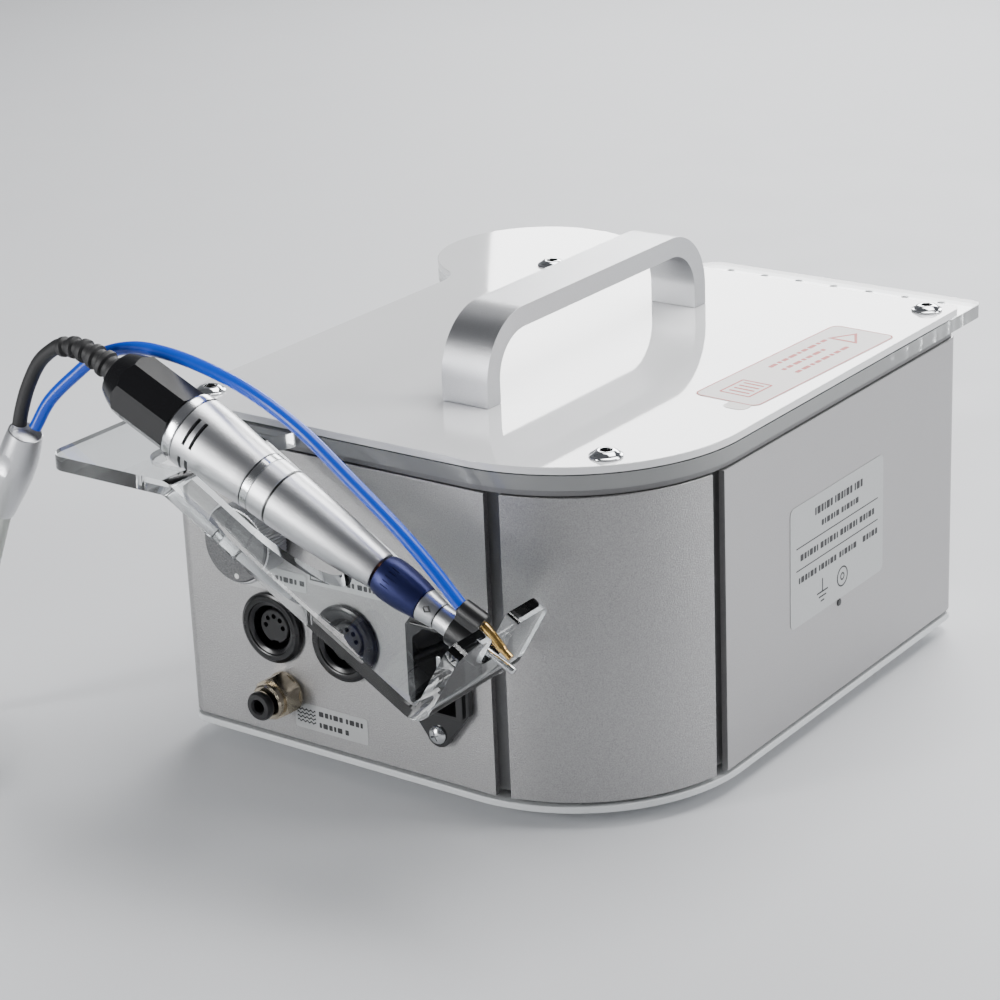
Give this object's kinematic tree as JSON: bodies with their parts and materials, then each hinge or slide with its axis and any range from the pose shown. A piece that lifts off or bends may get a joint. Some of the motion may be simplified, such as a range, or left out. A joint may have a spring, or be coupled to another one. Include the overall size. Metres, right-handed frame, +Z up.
{
  "type": "electric nail drill",
  "caption": "Bench electric nail drill: rounded metal control box with a clear deck folded into a cradle that holds a spray handpiece on its lead.",
  "frame": {"origin": "centre of the bounding box in X and Y, level with the underside of the feet, cords left out", "axes": "+Y from the jack panel to the user's side, +Z up, +X to the right seen from the jack panel"},
  "size_m": [0.3016, 0.3512, 0.1407],
  "materials": {
    "frosted_acrylic": "frosted pale acrylic sheet with polished edges",
    "clear_acrylic": "clear acrylic sheet, laser cut and heat folded",
    "white_acrylic": "high gloss white acrylic sheet",
    "blasted_aluminium": "bead blasted, clear anodised sheet",
    "satin_aluminium": "satin anodised",
    "dark_post": "dark grey, fine sandblasted texture",
    "black_plastic": "black moulded plastic, satin",
    "black_rubber": "soft black rubber",
    "chrome": "polished",
    "steel": "turned steel",
    "brass": "turned brass",
    "nickel": "nickel plated brass",
    "blue_tube": "blue polyurethane tube",
    "grey_tube": "translucent grey tube over a cable",
    "navy_anodised": "dark blue anodised",
    "green_board": "green circuit board",
    "copper": "copper windings on a steel shaft"
  },
  "bodies": {
    "housing": {"base_plate": "frosted_acrylic", "foot_1": "black_rubber", "foot_2": "black_rubber", "foot_3": "black_rubber", "foot_4": "black_rubber", "jack_panel": "blasted_aluminium", "curved_panel": "blasted_aluminium", "side_panel": "blasted_aluminium", "wrap_panel": "blasted_aluminium", "seam_post_1": "dark_post", "seam_post_2": "dark_post", "clear_deck": "clear_acrylic", "top_plate": "white_acrylic", "deck_seal": "black_rubber", "pillar_1": "satin_aluminium", "pillar_2": "satin_aluminium", "pillar_3": "satin_aluminium", "pillar_4": "satin_aluminium", "deck_screw_1": "chrome", "deck_screw_2": "chrome", "deck_screw_3": "chrome", "deck_screw_4": "chrome", "handle_screw_1": "steel", "handle_screw_2": "steel", "carry_handle": "satin_aluminium", "handpiece_socket": "black_plastic", "pedal_socket": "black_plastic", "power_inlet": "black_plastic", "inlet_screw_1": "steel", "inlet_screw_2": "steel", "hose_fitting": "nickel", "flow_valve": "brass", "power_supply": "black_plastic", "control_board": "green_board", "spray_pump": "steel", "water_tank": "clear_acrylic", "lead_cable": "grey_tube", "lead_coil": "grey_tube", "lead_plug": "black_plastic"},
    "handpiece": {"front_housing": "satin_aluminium", "barrel": "satin_aluminium", "vent_ring": "chrome", "rear_cap": "black_plastic", "nose_tip": "satin_aluminium", "nozzle_clip": "black_plastic", "spray_nozzle": "brass", "motor_magnet": "dark_post", "rear_bearing": "steel", "front_bearing": "steel", "strain_relief": "black_rubber", "handpiece_cable": "black_rubber", "spray_hose": "blue_tube", "lead_sleeve": "satin_aluminium"},
    "spindle": {"rotor": "copper", "drill_bit": "steel"},
    "lock_collar": {"lock_collar": "navy_anodised"},
    "flow_knob": {"flow_knob": "dark_post"},
    "release_collet": {"fitting_collet": "black_plastic"},
    "speed_dial": {"speed_dial": "black_plastic"},
    "power_rocker": {"power_rocker": "black_plastic"}
  },
  "joints": [
    {"name": "handpiece_lift", "type": "slide", "parent": "housing", "child": "handpiece", "axis": [0, 0, 1], "range_m": [0, 0.03]},
    {"name": "spindle_turn", "type": "hinge", "parent": "handpiece", "child": "spindle", "pos_m": [0.0773, -0.11375, 0.0675], "axis": [-0.91, 0, 0.4147], "continuous": true},
    {"name": "collar_twist", "type": "hinge", "parent": "handpiece", "child": "lock_collar", "pos_m": [0.03999, -0.11375, 0.0845], "axis": [-0.91, 0, 0.4147], "range_deg": [0, 40]},
    {"name": "flow_knob_turn", "type": "hinge", "parent": "housing", "child": "flow_knob", "pos_m": [-0.039, -0.08995, 0.0749], "axis": [0, 1, 0], "range_deg": [0, 300]},
    {"name": "collet_press", "type": "slide", "parent": "housing", "child": "release_collet", "axis": [0, 1, 0], "range_m": [0, 0.0009]},
    {"name": "speed_dial_turn", "type": "hinge", "parent": "housing", "child": "speed_dial", "pos_m": [0.0387, 0.11265, 0.0604], "axis": [0, -1, 0], "range_deg": [0, 280]},
    {"name": "rocker_press", "type": "hinge", "parent": "housing", "child": "power_rocker", "pos_m": [-0.0133, 0.11265, 0.0604], "axis": [-1, 0, 0], "range_deg": [0, 12]}
  ]
}
